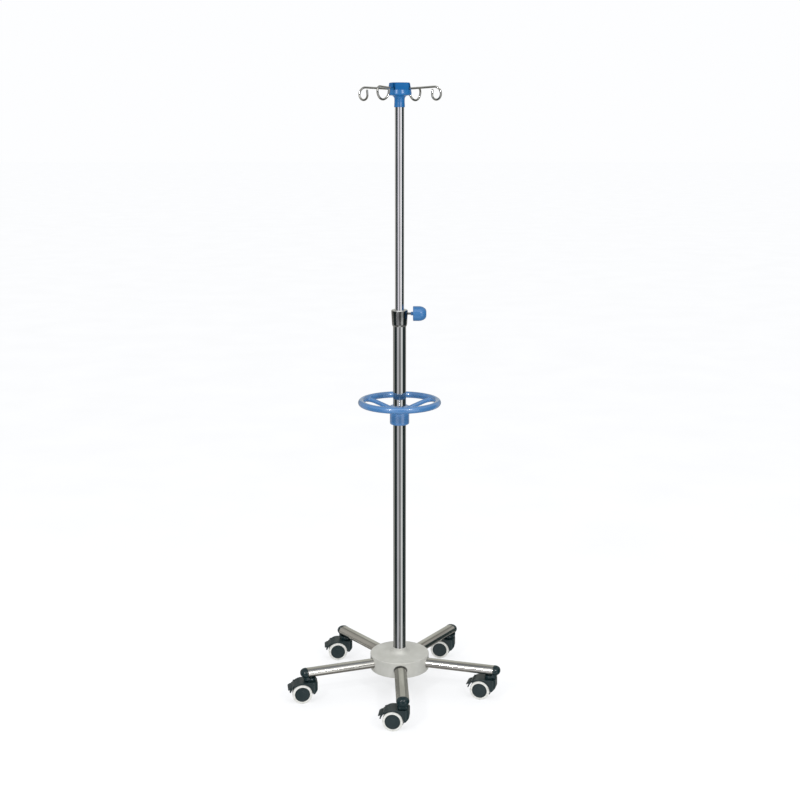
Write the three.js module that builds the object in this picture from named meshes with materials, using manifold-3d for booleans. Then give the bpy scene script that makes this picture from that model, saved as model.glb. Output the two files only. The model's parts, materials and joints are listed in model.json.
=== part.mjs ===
// A wheeled infusion stand: a five-legged stainless base on braked twin-wheel castors, a telescopic
// mast with a clamp collar and knob, a hand ring, and a head with four bag hooks.
// Millimetres, +Z up. The floor is z = 0 and the origin is under the middle of the whole stand.
import * as THREE from "three";
import { mergeVertices } from "three/addons/utils/BufferGeometryUtils.js";
import Module from "manifold-3d";

const wasm = await Module();
wasm.setup();

// ---------- driving dimensions ----------

const GAP = 0.3; // between pieces that touch on the real stand
const PAST = 10; // how far a cutting solid runs past the faces that it opens
const ROUND_SIDES = 16;
const FINE_SIDES = 20;
const SMALL_SIDES = 10;
const ARC_STEPS = 4; // in each rounded quarter of a profile

// The castors all trail to one side, so the mast stands off the middle of the stand's box.
const MAST_OFFSET = { x: 14.8, y: 20 };

const LEG_COUNT = 5;
const FIRST_LEG_DEG = 271.8;
const LEG = { halfWidth: 16, halfHeight: 11.5, wall: 1.2, inner: 34, end: 247.5, z: 75.2 };
const SWIVEL_RADIUS = 238;
const CAP = { depth: 16.8, halfWidth: 16.4, halfHeight: 12.3, insert: 218, slack: 0.5 };
const SOCKET = { bottom: 54.6, flangeRadius: 13.5, bossRadius: 9.5, bossRoom: 10, bore: 6 };
const LUG = { halfWidth: 12.5, end: 255.6, edge: 1.4 };

const COVER = { radius: 75, wall: 2.5, edge: 1.5, bottom: 55.6, top: 95.5 };
const COVER_NECK = { radius: 17.3, flare: 13, top: 111 };
const COVER_HOLE = { halfWidth: 17.3, top: 89.6, bottom: 62.5 };
const CORE = { radius: 33.5, bottom: 59, top: 92.6, floor: 3 };
const SPIGOT = { inner: 25, end: 68, halfWidth: 11, halfHeight: 6 };

const LOWER_TUBE = { radius: 16, wall: 1.5, top: 966 };
const UPPER_TUBE = { radius: 11, wall: 1.2, bottom: 603, top: 1499 };
const BUSH = { radius: 14.2, bore: 8, height: 30, foot: 3.7 };
const COLLAR = { bottom: 942.6, top: 983.3, topRadius: 20.2, bottomRadius: 18.6, rim: 2.8, skirt: 4.5 };
const SCREW = { radius: 3, z: 973.8, end: 50 };
const KNOB = { start: 32.7, domeStart: 46.7, end: 65.3, radius: 18.1, endRadius: 6, edge: 1 };
const KNOB_NECK = { start: 27.5, radius: 4.5 };

const RING = { radius: 94.4, tube: 8, z: 752.8, sides: 8, steps: 32 };
const RING_HUB = { radius: 24, bottom: 698, top: 744.8, bottomEdge: 5, topEdge: 1.5 };
const SPOKE = { radius: 5.5, sides: 8, steps: 6, count: 3, firstDeg: 30, drop: 21 };

const NECK = { bottom: 1463.9, radius: 12.2, rim: 0.4, fillet: 8.5 };
const FLANGE = { radius: 29.2, height: 13, top: 1503.8, edge: 3.5 };
const HEAD_CAP = { halfWidth: 21.5, corner: 7, top: 1520.4, edge: 1.5, topScale: 0.96 };
const PLINTH = { scale: 1.2, height: 3, radius: 28.7 };
const SLOT = { width: 6.4, start: 20.5, grooveStart: 6 };
const HOOK = { wire: 2.5, sides: 6, steps: 32, start: 7, bend: 32, exitZ: 1506.6 };
const LOOP = { x: 93.2, top: 1510, radius: 14.6, shift: 15.6, steps: 12, spread: 1.6 };
const HOOK_COUNT = 4;
const FIRST_HOOK_DEG = 61;

const WHEEL = { radius: 25, inner: 4.8, outer: 21.8, rim: 19, shoulder: 3, discEdge: 1 };
const CASTOR = { trail: 22.5, halfWidth: 22, hoodInner: 26.6, hoodOuter: 29.2 };
const FRONT = { x: 39.5, round: 12, corner: 4, chin: 9, foot: 32, heel: 27.8, footZ: -0.8 };
const WEB = { halfWidth: 4.2, fromDeg: -35, toDeg: 118, back: -7, halfHeight: 6 };
const AXLE = { radius: 3, halfLength: 19.5 };
const STEM = { radius: 5.5, top: 82, bottom: 45 };
const LEVER = { pivotRadius: 28.9, pivotDeg: 132, endDeg: 170, halfWidth: 20, thickness: 3.2 };
const LEVER_SHELL = { startRadius: 27.4, endRadius: 29.2, steps: 6 };
const PIVOT = { earRadius: 3.2, ear: 2.7, barrel: 2.4, stub: 1.2, hole: 1.5 };
const TAB = { rootRadius: 30, rootDeg: 149, tipRadius: 38, tipDeg: 162, thickness: 3, inset: 3 };
// How far each castor is turned from trailing straight towards -X, in the order of the legs.
const CASTOR_TURNS_DEG = [-6, -15, -8, 4, 8];

// ---------- materials ----------

const finish = (color, roughness, metalness) =>
  new THREE.MeshStandardMaterial({ color, roughness, metalness });

const STEEL = finish(0xc9c9c4, 0.22, 1);
const BRUSHED = finish(0xbebdb8, 0.45, 0.9);
const CHROME = finish(0xd8d8d8, 0.08, 1);
const BLUE = finish(0x3f78b4, 0.35, 0);
const WHITE = finish(0xe8e8e2, 0.5, 0);
const BLACK = finish(0x2c3436, 0.5, 0);
const TYRE = finish(0xd6d6d2, 0.6, 0);

// ---------- solids ----------

const radians = THREE.MathUtils.degToRad;

function solidOf(geometry) {
  const bare = geometry.index ? geometry.toNonIndexed() : geometry.clone();
  bare.deleteAttribute("normal");
  bare.deleteAttribute("uv");
  const merged = mergeVertices(bare, 1e-4);
  const solid = new wasm.Manifold(
    new wasm.Mesh({
      numProp: 3,
      vertProperties: new Float32Array(merged.attributes.position.array),
      triVerts: new Uint32Array(merged.index.array),
    }),
  );
  return solid;
}

function meshOf(name, solid, material) {
  const { numProp, vertProperties, triVerts } = solid.getMesh();
  const places = new Float32Array((vertProperties.length / numProp) * 3);
  for (let i = 0; i < places.length / 3; i += 1) {
    places.set(vertProperties.subarray(i * numProp, i * numProp + 3), i * 3);
  }
  const geometry = new THREE.BufferGeometry();
  geometry.setAttribute("position", new THREE.BufferAttribute(places, 3));
  geometry.setIndex(new THREE.BufferAttribute(new Uint32Array(triVerts), 1));
  geometry.computeVertexNormals();
  const mesh = new THREE.Mesh(geometry, material);
  mesh.name = name;
  return mesh;
}

// A solid turned about Z from a closed outline of [radius, height] points, listed anticlockwise.
function turned(outline, sides = ROUND_SIDES) {
  const points = [...outline, outline[0]].map(([radius, height]) => new THREE.Vector2(radius, height));
  const geometry = new THREE.LatheGeometry(points, sides);
  geometry.rotateX(Math.PI / 2);
  return solidOf(geometry);
}

const cylinder = (radius, low, high, sides = ROUND_SIDES) =>
  turned([[0, low], [radius, low], [radius, high], [0, high]], sides);

// A straight pipe along Z.
const pipe = (radius, wall, low, high) =>
  turned([[radius - wall, low], [radius, low], [radius, high], [radius - wall, high]], FINE_SIDES);

// A block from one corner to the other.
function block(low, high) {
  const size = high.map((value, axis) => value - low[axis]);
  const geometry = new THREE.BoxGeometry(...size);
  geometry.translate(...low.map((value, axis) => value + size[axis] / 2));
  return solidOf(geometry);
}

// An outline in X and Y, pushed up from one height to another.
function raised(shape, low, high, curveSegments = 6) {
  const geometry = new THREE.ExtrudeGeometry(shape, {
    depth: high - low,
    bevelEnabled: false,
    curveSegments,
  });
  geometry.translate(0, 0, low);
  return solidOf(geometry);
}

// An outline in X and Z, as wide as twice halfWidth along Y.
const sideways = (shape, halfWidth) => raised(shape, -halfWidth, halfWidth).rotate([90, 0, 0]);

// A round bar along a curve.
function bar(curve, radius, sides, steps) {
  const section = new THREE.Shape();
  section.absarc(0, 0, radius, 0, 2 * Math.PI, false);
  return solidOf(
    new THREE.ExtrudeGeometry(section, { steps, curveSegments: sides / 2, extrudePath: curve }),
  );
}

function ellipse(halfWidth, halfHeight) {
  const shape = new THREE.Shape();
  shape.absellipse(0, 0, halfWidth, halfHeight, 0, 2 * Math.PI, false, 0);
  return shape;
}

const polar = (radius, degrees) => [
  radius * Math.cos(radians(degrees)),
  radius * Math.sin(radians(degrees)),
];

const polygon = (points) => new THREE.Shape(points.map(([x, y]) => new THREE.Vector2(x, y)));

// Points along an arc about the origin.
function arcPoints(radius, fromDeg, toDeg, steps) {
  return Array.from({ length: steps + 1 }, (_, i) =>
    polar(radius, fromDeg + ((toDeg - fromDeg) * i) / steps),
  );
}

// The quarter turn from 0 to a right angle, in even steps.
const QUARTER = Array.from({ length: ARC_STEPS + 1 }, (_, i) => ((Math.PI / 2) * i) / ARC_STEPS);

const turnsOf = (count, firstDeg) => Array.from({ length: count }, (_, i) => firstDeg + (i * 360) / count);
const LEG_TURNS = turnsOf(LEG_COUNT, FIRST_LEG_DEG);
const HOOK_TURNS = turnsOf(HOOK_COUNT, FIRST_HOOK_DEG);

// ---------- base ----------

function baseCover() {
  const { radius, wall, edge, bottom, top } = COVER;
  const bore = LOWER_TUBE.radius + GAP;
  const neck = QUARTER.map((turn) => [
    COVER_NECK.radius + COVER_NECK.flare * (1 - Math.sin(turn)),
    top + (COVER_NECK.top - top) * (1 - Math.cos(turn)),
  ]);
  const shell = turned(
    [
      [bore, top - wall],
      [radius - wall, top - wall],
      [radius - wall, bottom],
      [radius, bottom],
      [radius, top - edge],
      [radius - edge, top],
      ...neck,
      [bore, COVER_NECK.top],
    ],
    FINE_SIDES,
  );
  const { halfWidth, top: holeTop, bottom: holeBottom } = COVER_HOLE;
  const opening = raised(ellipse(halfWidth, (holeTop - holeBottom) / 2), radius - PAST, radius + PAST)
    .rotate([90, 0, 90])
    .translate([0, 0, (holeTop + holeBottom) / 2]);
  return LEG_TURNS.reduce((cover, degrees) => cover.subtract(opening.rotate([0, 0, degrees])), shell);
}

function baseCore() {
  const { inner, end, halfWidth, halfHeight } = SPIGOT;
  const spigot = block([inner, -halfWidth, LEG.z - halfHeight], [end, halfWidth, LEG.z + halfHeight]);
  const hub = cylinder(CORE.radius, CORE.bottom, CORE.top);
  return LEG_TURNS.reduce((core, degrees) => core.add(spigot.rotate([0, 0, degrees])), hub).subtract(
    cylinder(LOWER_TUBE.radius + GAP, CORE.bottom + CORE.floor, CORE.top + PAST, FINE_SIDES),
  );
}

// A leg along +X. The notch in its underside is where the castor socket slides in.
function leg() {
  const { halfWidth, halfHeight, wall, inner, end, z } = LEG;
  const outline = ellipse(halfWidth, halfHeight);
  outline.holes.push(ellipse(halfWidth - wall, halfHeight - wall));
  const tube = raised(outline, inner, end).rotate([90, 0, 90]).translate([0, 0, z]);
  return tube.subtract(bossColumn(SOCKET.bossRoom, z - halfHeight - PAST, z - wall, end + PAST));
}

// A round column at the swivel, widened into a block that runs outwards along the leg.
const bossColumn = (radius, low, high, end) =>
  cylinder(radius, low, high, SMALL_SIDES)
    .translate([SWIVEL_RADIUS, 0, 0])
    .add(block([SWIVEL_RADIUS, -radius, low], [end, radius, high]));

// The end cap of a leg along +X: domed nose, insert, and the socket for the castor stem.
function legCap() {
  const start = LEG.end + GAP;
  const underLeg = LEG.z - LEG.halfHeight - GAP;
  const inside = LEG.wall + CAP.slack;
  const dome = QUARTER.slice(0, -1).map((turn) => [Math.cos(turn), Math.sin(turn)]);
  const nose = turned([[0, 0], ...dome, [0, 1]])
    .rotate([0, 90, 0])
    .scale([CAP.depth, CAP.halfWidth, CAP.halfHeight])
    .translate([start, 0, LEG.z]);
  const insert = raised(ellipse(LEG.halfWidth - inside, LEG.halfHeight - inside), CAP.insert, start + 1)
    .rotate([90, 0, 90])
    .translate([0, 0, LEG.z]);
  // The lug joins the socket's flange to the nose, under and past the end of the leg.
  const { edge } = LUG;
  const lug = polygon([
    [SWIVEL_RADIUS, SOCKET.bottom + GAP],
    [LUG.end - edge, SOCKET.bottom + GAP],
    [LUG.end, SOCKET.bottom + GAP + edge],
    [LUG.end, LEG.z],
    [start, LEG.z],
    [start, underLeg],
    [SWIVEL_RADIUS, underLeg],
  ]);
  const post = (radius, low, high) =>
    cylinder(radius, low, high, SMALL_SIDES).translate([SWIVEL_RADIUS, 0, 0]);
  return nose
    .add(insert)
    .add(sideways(lug, LUG.halfWidth))
    .add(post(SOCKET.flangeRadius, SOCKET.bottom, underLeg))
    .add(bossColumn(SOCKET.bossRadius, SOCKET.bottom + GAP, LEG.z, start + 1))
    .subtract(post(SOCKET.bore, SOCKET.bottom - PAST, STEM.top + GAP));
}

// ---------- castor: the axle is at the origin along Y, and the swivel stem is at +X ----------

const alongY = (radius, halfLength) =>
  cylinder(radius, -halfLength, halfLength, SMALL_SIDES).rotate([90, 0, 0]);

const LEVER_PIVOT = polar(LEVER.pivotRadius, LEVER.pivotDeg);
const atPivot = (solid) => solid.translate([LEVER_PIVOT[0], 0, LEVER_PIVOT[1]]);

// The hood over both wheels, with a front that has round corners in plan and holds the stem, and
// the web between the wheels.
function castorHousing() {
  const { trail, halfWidth, hoodInner, hoodOuter } = CASTOR;
  const hoodEndDeg = LEVER.pivotDeg - 1;
  const bend = FRONT.corner * 0.3;
  const roundStart = FRONT.x - FRONT.round;
  const roundSide = halfWidth - FRONT.round;
  const plan = new THREE.Shape();
  plan.moveTo(-hoodOuter, -halfWidth);
  plan.lineTo(roundStart, -halfWidth);
  plan.absarc(roundStart, -roundSide, FRONT.round, -Math.PI / 2, 0, false);
  plan.absarc(roundStart, roundSide, FRONT.round, 0, Math.PI / 2, false);
  plan.lineTo(-hoodOuter, halfWidth);
  const hood = polygon([
    ...arcPoints(hoodOuter, hoodEndDeg, 90, 3),
    [FRONT.x - FRONT.corner, hoodOuter],
    [FRONT.x - bend, hoodOuter - bend],
    [FRONT.x, hoodOuter - FRONT.corner],
    [FRONT.x, FRONT.chin],
    [FRONT.foot, FRONT.footZ],
    [FRONT.heel, FRONT.footZ],
    ...arcPoints(hoodInner, 4, hoodEndDeg, 8),
  ]);
  const web = polygon([
    ...arcPoints(hoodInner + 1, WEB.fromDeg, WEB.toDeg, 6),
    [WEB.back, WEB.halfHeight],
    [WEB.back, -WEB.halfHeight],
  ]);
  return sideways(hood, halfWidth)
    .intersect(raised(plan, -PAST, hoodOuter + PAST, ARC_STEPS / 2))
    .add(sideways(web, WEB.halfWidth))
    .add(atPivot(alongY(PIVOT.earRadius, LEVER.halfWidth)))
    .subtract(atPivot(alongY(PIVOT.earRadius + GAP, LEVER.halfWidth - PIVOT.ear)))
    .subtract(atPivot(alongY(PIVOT.hole, LEVER.halfWidth + GAP)))
    .subtract(alongY(AXLE.radius + GAP, halfWidth))
    .add(
      cylinder(STEM.radius, STEM.bottom - WHEEL.radius, STEM.top - WHEEL.radius, SMALL_SIDES).translate([
        trail,
        0,
        0,
      ]),
    );
}

// The hinged tail of the hood, which a foot presses down until it grips the tyres.
function brakeLever() {
  const { pivotDeg, endDeg, halfWidth, thickness } = LEVER;
  const { startRadius, endRadius, steps } = LEVER_SHELL;
  const inside = Array.from({ length: steps + 1 }, (_, i) =>
    polar(
      startRadius + ((endRadius - startRadius) * i) / steps,
      pivotDeg + ((endDeg - pivotDeg) * i) / steps,
    ),
  );
  const outside = inside.map(([x, z]) => {
    const longer = 1 + thickness / Math.hypot(x, z);
    return [x * longer, z * longer];
  });
  const shell = polygon([...outside.reverse(), ...inside]);
  const tab = polygon([
    polar(TAB.tipRadius - TAB.thickness / 2, TAB.tipDeg + 1),
    polar(TAB.tipRadius, TAB.tipDeg - 1),
    polar(TAB.rootRadius + TAB.thickness, TAB.rootDeg),
    polar(TAB.rootRadius, TAB.rootDeg),
  ]);
  const earInner = halfWidth - PIVOT.ear - GAP;
  const room = PIVOT.earRadius + 1;
  const earRoom = cylinder(room, earInner, halfWidth + PAST, SMALL_SIDES)
    .add(cylinder(room, -halfWidth - PAST, -earInner, SMALL_SIDES))
    .rotate([90, 0, 0]);
  return sideways(shell, halfWidth)
    .subtract(atPivot(earRoom))
    .add(sideways(tab, halfWidth - TAB.inset))
    .add(atPivot(alongY(PIVOT.barrel, earInner)))
    .add(atPivot(alongY(PIVOT.stub, halfWidth - GAP)));
}

// A turned piece laid along Y with a flat facet down, so that a wheel made of it stands on that facet.
const laidDown = (solid, sides) => solid.rotate([0, 0, 180 / sides]).rotate([90, 0, 0]);

function tyre() {
  const { radius, inner, outer, rim, shoulder } = WHEEL;
  const tread = radius / Math.cos(Math.PI / ROUND_SIDES);
  return laidDown(
    turned([
      [rim, inner],
      [tread - shoulder, inner],
      [tread, inner + shoulder],
      [tread, outer - shoulder],
      [tread - shoulder, outer],
      [rim, outer],
    ]),
    ROUND_SIDES,
  );
}

function wheelDisc() {
  const { inner, outer, rim, discEdge } = WHEEL;
  const bore = AXLE.radius + GAP;
  const boreEnd = AXLE.halfLength + GAP;
  const edge = rim * Math.cos(Math.PI / ROUND_SIDES) - GAP;
  return laidDown(
    turned([
      [bore, inner],
      [edge, inner],
      [edge, outer - discEdge],
      [edge - discEdge, outer],
      [0, outer],
      [0, boreEnd],
      [bore, boreEnd],
    ]),
    ROUND_SIDES,
  );
}

const castorAxle = () => alongY(AXLE.radius, AXLE.halfLength);

// ---------- mast ----------

const lowerTube = () =>
  pipe(LOWER_TUBE.radius, LOWER_TUBE.wall, CORE.bottom + CORE.floor + GAP, LOWER_TUBE.top);

const upperTube = () => pipe(UPPER_TUBE.radius, UPPER_TUBE.wall, UPPER_TUBE.bottom, UPPER_TUBE.top);

// The bush is pressed on the foot of the upper tube and guides it inside the lower tube.
function slideBush() {
  const shelf = UPPER_TUBE.bottom - GAP;
  const bottom = shelf - BUSH.foot;
  return turned([
    [BUSH.bore, bottom],
    [BUSH.radius, bottom],
    [BUSH.radius, bottom + BUSH.height],
    [UPPER_TUBE.radius + GAP, bottom + BUSH.height],
    [UPPER_TUBE.radius + GAP, shelf],
    [BUSH.bore, shelf],
  ]);
}

// A screw's own axis is +X, at the height of the clamp.
const atClamp = (solid) => solid.rotate([0, 90, 0]).translate([0, 0, SCREW.z]);

function clampCollar() {
  const { bottom, top, topRadius, bottomRadius, rim, skirt } = COLLAR;
  const guide = UPPER_TUBE.radius + GAP;
  const socket = LOWER_TUBE.radius + GAP;
  const shelf = LOWER_TUBE.top + GAP;
  const lip = 0.6;
  const collar = turned(
    [
      [socket, bottom],
      [socket + lip, bottom],
      [bottomRadius - lip, bottom + skirt * 0.4],
      [bottomRadius, bottom + skirt],
      [topRadius, top - rim],
      [topRadius - lip, top - lip],
      [topRadius - rim, top],
      [guide, top],
      [guide, shelf],
      [socket, shelf],
    ],
    FINE_SIDES,
  );
  const hole = cylinder(SCREW.radius + GAP, 0, topRadius + PAST, SMALL_SIDES);
  return collar.subtract(atClamp(hole));
}

const clampScrew = () => atClamp(cylinder(SCREW.radius, UPPER_TUBE.radius + GAP, SCREW.end, SMALL_SIDES));

function clampKnob() {
  const { start, domeStart, end, radius, endRadius, edge } = KNOB;
  const bore = SCREW.radius + GAP;
  const boreEnd = SCREW.end + GAP;
  const dome = QUARTER.map((turn) => [
    endRadius + (radius - endRadius) * Math.cos(turn),
    domeStart + (end - domeStart) * Math.sin(turn),
  ]);
  return atClamp(
    turned([
      [bore, KNOB_NECK.start],
      [KNOB_NECK.radius, KNOB_NECK.start],
      [KNOB_NECK.radius, start],
      [radius - edge, start],
      [radius, start + edge],
      ...dome,
      [0, end],
      [0, boreEnd],
      [bore, boreEnd],
    ]),
  );
}

// ---------- hand ring ----------

function handRing() {
  const { radius, tube, z, sides, steps } = RING;
  const { radius: hubRadius, bottom, top, bottomEdge, topEdge } = RING_HUB;
  const bore = LOWER_TUBE.radius + GAP;
  const reach = radius - hubRadius;
  // Each spoke leaves the hub below the ring, and rises to it in a shallow curve.
  const spokeCurve = new THREE.CatmullRomCurve3(
    [
      [-0.07, 1],
      [0.08, 0.8],
      [0.44, 0.45],
      [0.72, 0.2],
      [1, 0.1],
    ].map(([out, down]) => new THREE.Vector3(hubRadius + reach * out, 0, z - SPOKE.drop * down)),
  );
  const spoke = bar(spokeCurve, SPOKE.radius, SPOKE.sides, SPOKE.steps);
  let ring = solidOf(new THREE.TorusGeometry(radius, tube, sides, steps)).translate([0, 0, z]);
  for (let i = 0; i < SPOKE.count; i += 1) {
    ring = ring.add(spoke.rotate([0, 0, SPOKE.firstDeg + (i * 360) / SPOKE.count]));
  }
  const hub = turned([
    [bore - GAP, bottom],
    [hubRadius - bottomEdge, bottom],
    [hubRadius - bottomEdge * 0.3, bottom + bottomEdge * 0.3],
    [hubRadius, bottom + bottomEdge],
    [hubRadius, top - topEdge],
    [hubRadius - topEdge, top],
    [bore - GAP, top],
  ]);
  return ring.add(hub).subtract(cylinder(bore, bottom - PAST, top + PAST, FINE_SIDES));
}

// ---------- head ----------

function headBody() {
  const { radius: neckRadius, bottom: neckBottom, rim, fillet } = NECK;
  const { radius, height, top, edge } = FLANGE;
  const bore = UPPER_TUBE.radius + GAP;
  const boreTop = UPPER_TUBE.top + GAP;
  const underside = top - height;
  const filletArc = QUARTER.map((turn) => [
    neckRadius + fillet * (1 - Math.cos(turn)),
    underside - fillet + fillet * Math.sin(turn),
  ]);
  return turned(
    [
      [bore, neckBottom],
      [neckRadius + rim, neckBottom],
      ...filletArc,
      [radius - edge, underside],
      [radius - edge * 0.3, underside + edge * 0.3],
      [radius, underside + edge],
      [radius, top],
      [0, top],
      [0, boreTop],
      [bore, boreTop],
    ],
    FINE_SIDES,
  );
}

// A square cap with round corners. Each hook leaves it through a groove under a slot at a corner.
function headCap() {
  const { halfWidth, corner, top, edge, topScale } = HEAD_CAP;
  const bottom = FLANGE.top + GAP;
  const inset = halfWidth - corner;
  const square = new THREE.Shape();
  for (const from of [0, 90, 180, 270]) {
    const [x, y] = polar(inset * Math.SQRT2, from + 45);
    square.absarc(x, y, corner, radians(from), radians(from + 90), false);
  }
  const plinth = raised(square, bottom, bottom + PLINTH.height, ARC_STEPS)
    .scale([PLINTH.scale, PLINTH.scale, 1])
    .intersect(cylinder(PLINTH.radius, bottom, bottom + PLINTH.height));
  let cap = raised(square, bottom, top - edge, ARC_STEPS)
    .add(raised(square, bottom, top, ARC_STEPS).scale([topScale, topScale, 1]))
    .add(plinth)
    .rotate([0, 0, FIRST_HOOK_DEG - 45]);
  const outer = halfWidth * Math.SQRT2 + PAST;
  const halfSlot = SLOT.width / 2;
  const slot = block([SLOT.start, -halfSlot, bottom - PAST], [outer, halfSlot, top + PAST]);
  const wireRoom = HOOK.wire + GAP;
  const groove = block(
    [SLOT.grooveStart, -wireRoom, bottom - PAST],
    [outer, wireRoom, HOOK.exitZ + wireRoom],
  );
  for (const degrees of HOOK_TURNS) {
    cap = cap.subtract(slot.rotate([0, 0, degrees])).subtract(groove.rotate([0, 0, degrees]));
  }
  return cap;
}

// A pigtail hook along +X: out and a little up, round a loop, and back beside itself.
function hook() {
  const rise = (LOOP.top - HOOK.exitZ) / (LOOP.x - HOOK.bend);
  const arm = [HOOK.start, HOOK.bend * 0.7, HOOK.bend, HOOK.bend * 1.6, LOOP.x - 20].map(
    (x) => new THREE.Vector3(x, 0, HOOK.exitZ + rise * Math.max(0, x - HOOK.bend)),
  );
  const loopZ = LOOP.top - LOOP.radius;
  const loop = Array.from({ length: LOOP.steps + 1 }, (_, i) => {
    const share = i / LOOP.steps;
    const turn = Math.PI * (0.5 - 1.5 * share);
    return new THREE.Vector3(
      LOOP.x + LOOP.radius * Math.cos(turn),
      LOOP.shift * share ** LOOP.spread,
      loopZ + LOOP.radius * Math.sin(turn),
    );
  });
  const tip = new THREE.Vector3(LOOP.x - LOOP.radius, LOOP.shift + 1, loopZ + LOOP.radius / 2);
  const wire = new THREE.CatmullRomCurve3([...arm, ...loop, tip]);
  return bar(wire, HOOK.wire, HOOK.sides, HOOK.steps);
}

// ---------- assembly ----------

const stand = new THREE.Group();
stand.position.set(MAST_OFFSET.x, MAST_OFFSET.y, 0);

stand.add(
  meshOf("base_cover", baseCover(), BRUSHED),
  meshOf("base_core", baseCore(), BRUSHED),
  meshOf("lower_tube", lowerTube(), STEEL),
  meshOf("upper_tube", upperTube(), STEEL),
  meshOf("slide_bush", slideBush(), WHITE),
  meshOf("clamp_collar", clampCollar(), CHROME),
  meshOf("clamp_screw", clampScrew(), STEEL),
  meshOf("clamp_knob", clampKnob(), BLUE),
  meshOf("hand_ring", handRing(), BLUE),
  meshOf("head_body", headBody(), BLUE),
  meshOf("head_cap", headCap(), BLUE),
);

HOOK_TURNS.forEach((degrees, i) => {
  const wire = meshOf(`hook_${i + 1}`, hook(), STEEL);
  wire.rotation.z = radians(degrees);
  stand.add(wire);
});

LEG_TURNS.forEach((degrees, i) => {
  const number = i + 1;
  const arm = new THREE.Group();
  arm.rotation.z = radians(degrees);
  arm.add(meshOf(`leg_${number}`, leg(), STEEL), meshOf(`leg_cap_${number}`, legCap(), BLACK));

  const swivel = new THREE.Group();
  swivel.position.set(SWIVEL_RADIUS, 0, WHEEL.radius);
  swivel.rotation.z = radians(CASTOR_TURNS_DEG[i]) - arm.rotation.z;
  const castor = new THREE.Group();
  castor.position.x = -CASTOR.trail;
  castor.add(
    meshOf(`castor_housing_${number}`, castorHousing(), BLACK),
    meshOf(`castor_axle_${number}`, castorAxle(), STEEL),
    meshOf(`brake_lever_${number}`, brakeLever(), BLACK),
  );
  for (const [side, turn] of [["a", 0], ["b", Math.PI]]) {
    const wheel = new THREE.Group();
    wheel.rotation.z = turn;
    wheel.add(
      meshOf(`wheel_disc_${number}${side}`, wheelDisc(), BLACK),
      meshOf(`tyre_${number}${side}`, tyre(), TYRE),
    );
    castor.add(wheel);
  }
  swivel.add(castor);
  arm.add(swivel);
  stand.add(arm);
});

export default stand;
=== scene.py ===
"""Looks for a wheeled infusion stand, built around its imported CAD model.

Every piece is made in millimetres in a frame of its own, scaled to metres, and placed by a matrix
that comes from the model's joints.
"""

import math

import bmesh
import bpy
import numpy as np
from mathutils import Matrix, Vector
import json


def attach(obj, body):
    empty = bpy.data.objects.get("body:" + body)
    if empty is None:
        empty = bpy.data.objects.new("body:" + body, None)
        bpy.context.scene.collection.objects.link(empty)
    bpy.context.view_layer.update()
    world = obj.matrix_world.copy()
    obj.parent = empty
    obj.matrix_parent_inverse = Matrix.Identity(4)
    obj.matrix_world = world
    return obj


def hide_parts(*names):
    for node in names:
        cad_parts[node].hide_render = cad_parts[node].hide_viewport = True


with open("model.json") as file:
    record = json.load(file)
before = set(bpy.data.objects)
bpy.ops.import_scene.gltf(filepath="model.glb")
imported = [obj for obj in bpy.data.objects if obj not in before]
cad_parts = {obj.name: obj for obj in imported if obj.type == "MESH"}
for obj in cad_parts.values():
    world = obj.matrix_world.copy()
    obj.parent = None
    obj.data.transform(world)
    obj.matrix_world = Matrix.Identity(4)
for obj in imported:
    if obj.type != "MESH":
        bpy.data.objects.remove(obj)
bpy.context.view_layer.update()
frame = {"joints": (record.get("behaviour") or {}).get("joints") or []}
JOINTS = {joint["name"]: joint for joint in frame["joints"]}
SCENE = bpy.context.scene

# ---------- driving dimensions, in millimetres ----------

MM = 0.001
GAP = 0.3

LEG_COUNT = 5
LEGS = range(1, LEG_COUNT + 1)
LEG = {"half_width": 16, "half_height": 11.5, "wall": 1.2, "inner": 34, "end": 247.5, "z": 75.2}
NOSE = {"depth": 16.8, "half_width": 16.4, "half_height": 12.3, "fullness": 2.3}
LUG = {"half_width": 12.5, "end": 255.6}
SOCKET = {"bottom": 54.6, "radius": 13.5, "fillet": 3.5, "x": 238}

COVER = {"radius": 75, "wall": 2.5, "bottom": 55.6, "top": 95.5, "neck_radius": 17.3, "neck_top": 111}
HOLE = {"half_width": 17.3, "top": 89.6, "bottom": 62.5}
CORE = {"radius": 33.5, "bottom": 59, "top": 92.6, "floor": 3}
SPIGOT = {"inner": 25, "end": 68, "half_width": 11, "half_height": 6}
# Each screw's head radius, head height and socket radius.
SCREW_HEADS = {"leg": (5, 5, 2.7), "mast": (8, 8, 4.2), "grub": (2.5, 2, 1.4), "cap": (4.5, 1.4, 2.2)}
LEG_SCREW_X = 52

LOWER_TUBE = {"radius": 16, "wall": 1.5, "bottom": 62.3, "top": 966}
UPPER_TUBE = {"radius": 11, "wall": 1.2, "bottom": 603, "top": 1499}
BUSH = {"radius": 14.2, "bore": 8, "bottom": 599, "top": 629, "shelf": 602.7}
COLLAR = {"bottom": 942.6, "top": 983.3, "top_radius": 20.2, "bottom_radius": 18.5}
SCREW = {"radius": 3, "pitch": 1, "depth": 0.55, "start": 11.3, "end": 50, "z": 973.8}
KNOB = {"start": 32.7, "dome": 46.7, "end": 65.3, "radius": 18.1, "neck_start": 27.5, "neck_radius": 4.5}

RING = {"radius": 94.4, "tube": 8, "z": 752.8}
RING_HUB = {"radius": 24, "bottom": 698, "top": 744.8, "edge": 3.5}
SPOKE = {"radius": 5.5, "count": 3, "first_deg": 30}
SPOKE_TURNS = [math.radians(SPOKE["first_deg"] + 360 * i / SPOKE["count"]) for i in range(SPOKE["count"])]
GRUB = {"z": 722, "depth": 1.4}

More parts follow.
